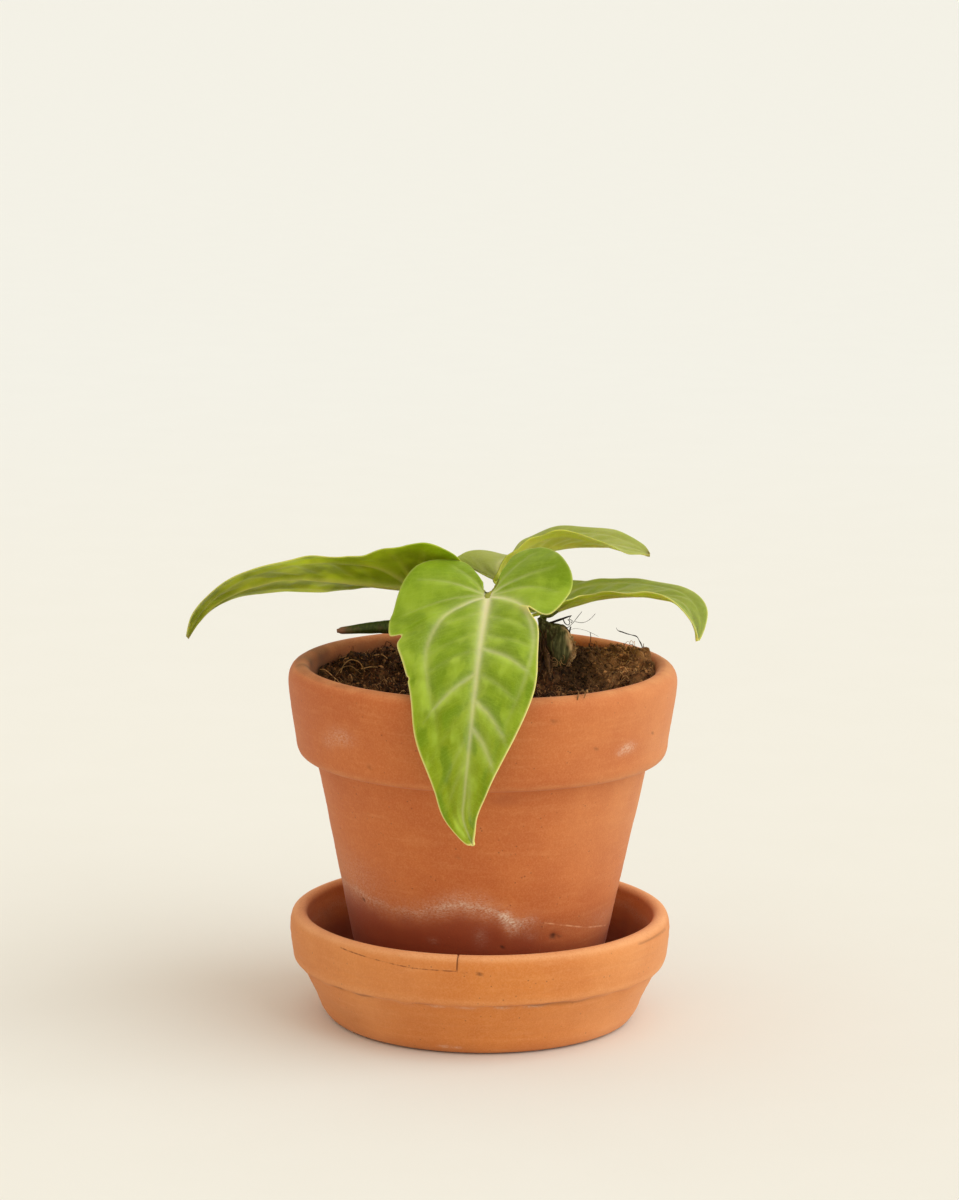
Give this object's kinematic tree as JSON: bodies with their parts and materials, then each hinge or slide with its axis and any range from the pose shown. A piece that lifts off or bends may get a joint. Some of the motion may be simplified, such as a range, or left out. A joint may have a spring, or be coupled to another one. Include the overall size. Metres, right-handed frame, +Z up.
{
  "type": "potted houseplant",
  "caption": "Young velvet-leaved aroid with long heart-shaped hanging leaves in a collared terracotta pot filled with potting mix, standing on a deep terracotta saucer.",
  "frame": {"origin": "centre of the saucer's flat underside", "axes": "+Z up; -Y towards the viewer of the picture, over which the front leaf hangs; +X to the viewer's right"},
  "size_m": [0.1633, 0.1383, 0.1504],
  "materials": {
    "saucer": "unglazed terracotta",
    "pot": "unglazed terracotta",
    "soil": "damp fibrous mix",
    "stem": "matte",
    "petiole": "satin",
    "petiole_stub": "satin",
    "cataphyll": "matte",
    "root": "matte",
    "fibre": "matte",
    "leaf_front": "velvet",
    "leaf_left": "velvet",
    "leaf_right": "velvet",
    "leaf_back": "velvet"
  },
  "bodies": {
    "root": {"saucer": "saucer", "pot": "pot", "soil": "soil", "stem": "stem", "petiole_front": "petiole", "petiole_left": "petiole", "petiole_back": "petiole", "petiole_right": "petiole", "petiole_stub": "petiole_stub", "cataphyll": "cataphyll", "aerial_root_front": "root", "aerial_root_side": "root", "dry_root": "fibre", "wiry_fibre": "fibre", "leaf_front": "leaf_front", "leaf_left": "leaf_left", "leaf_right": "leaf_right", "leaf_back": "leaf_back"}
  },
  "joints": []
}
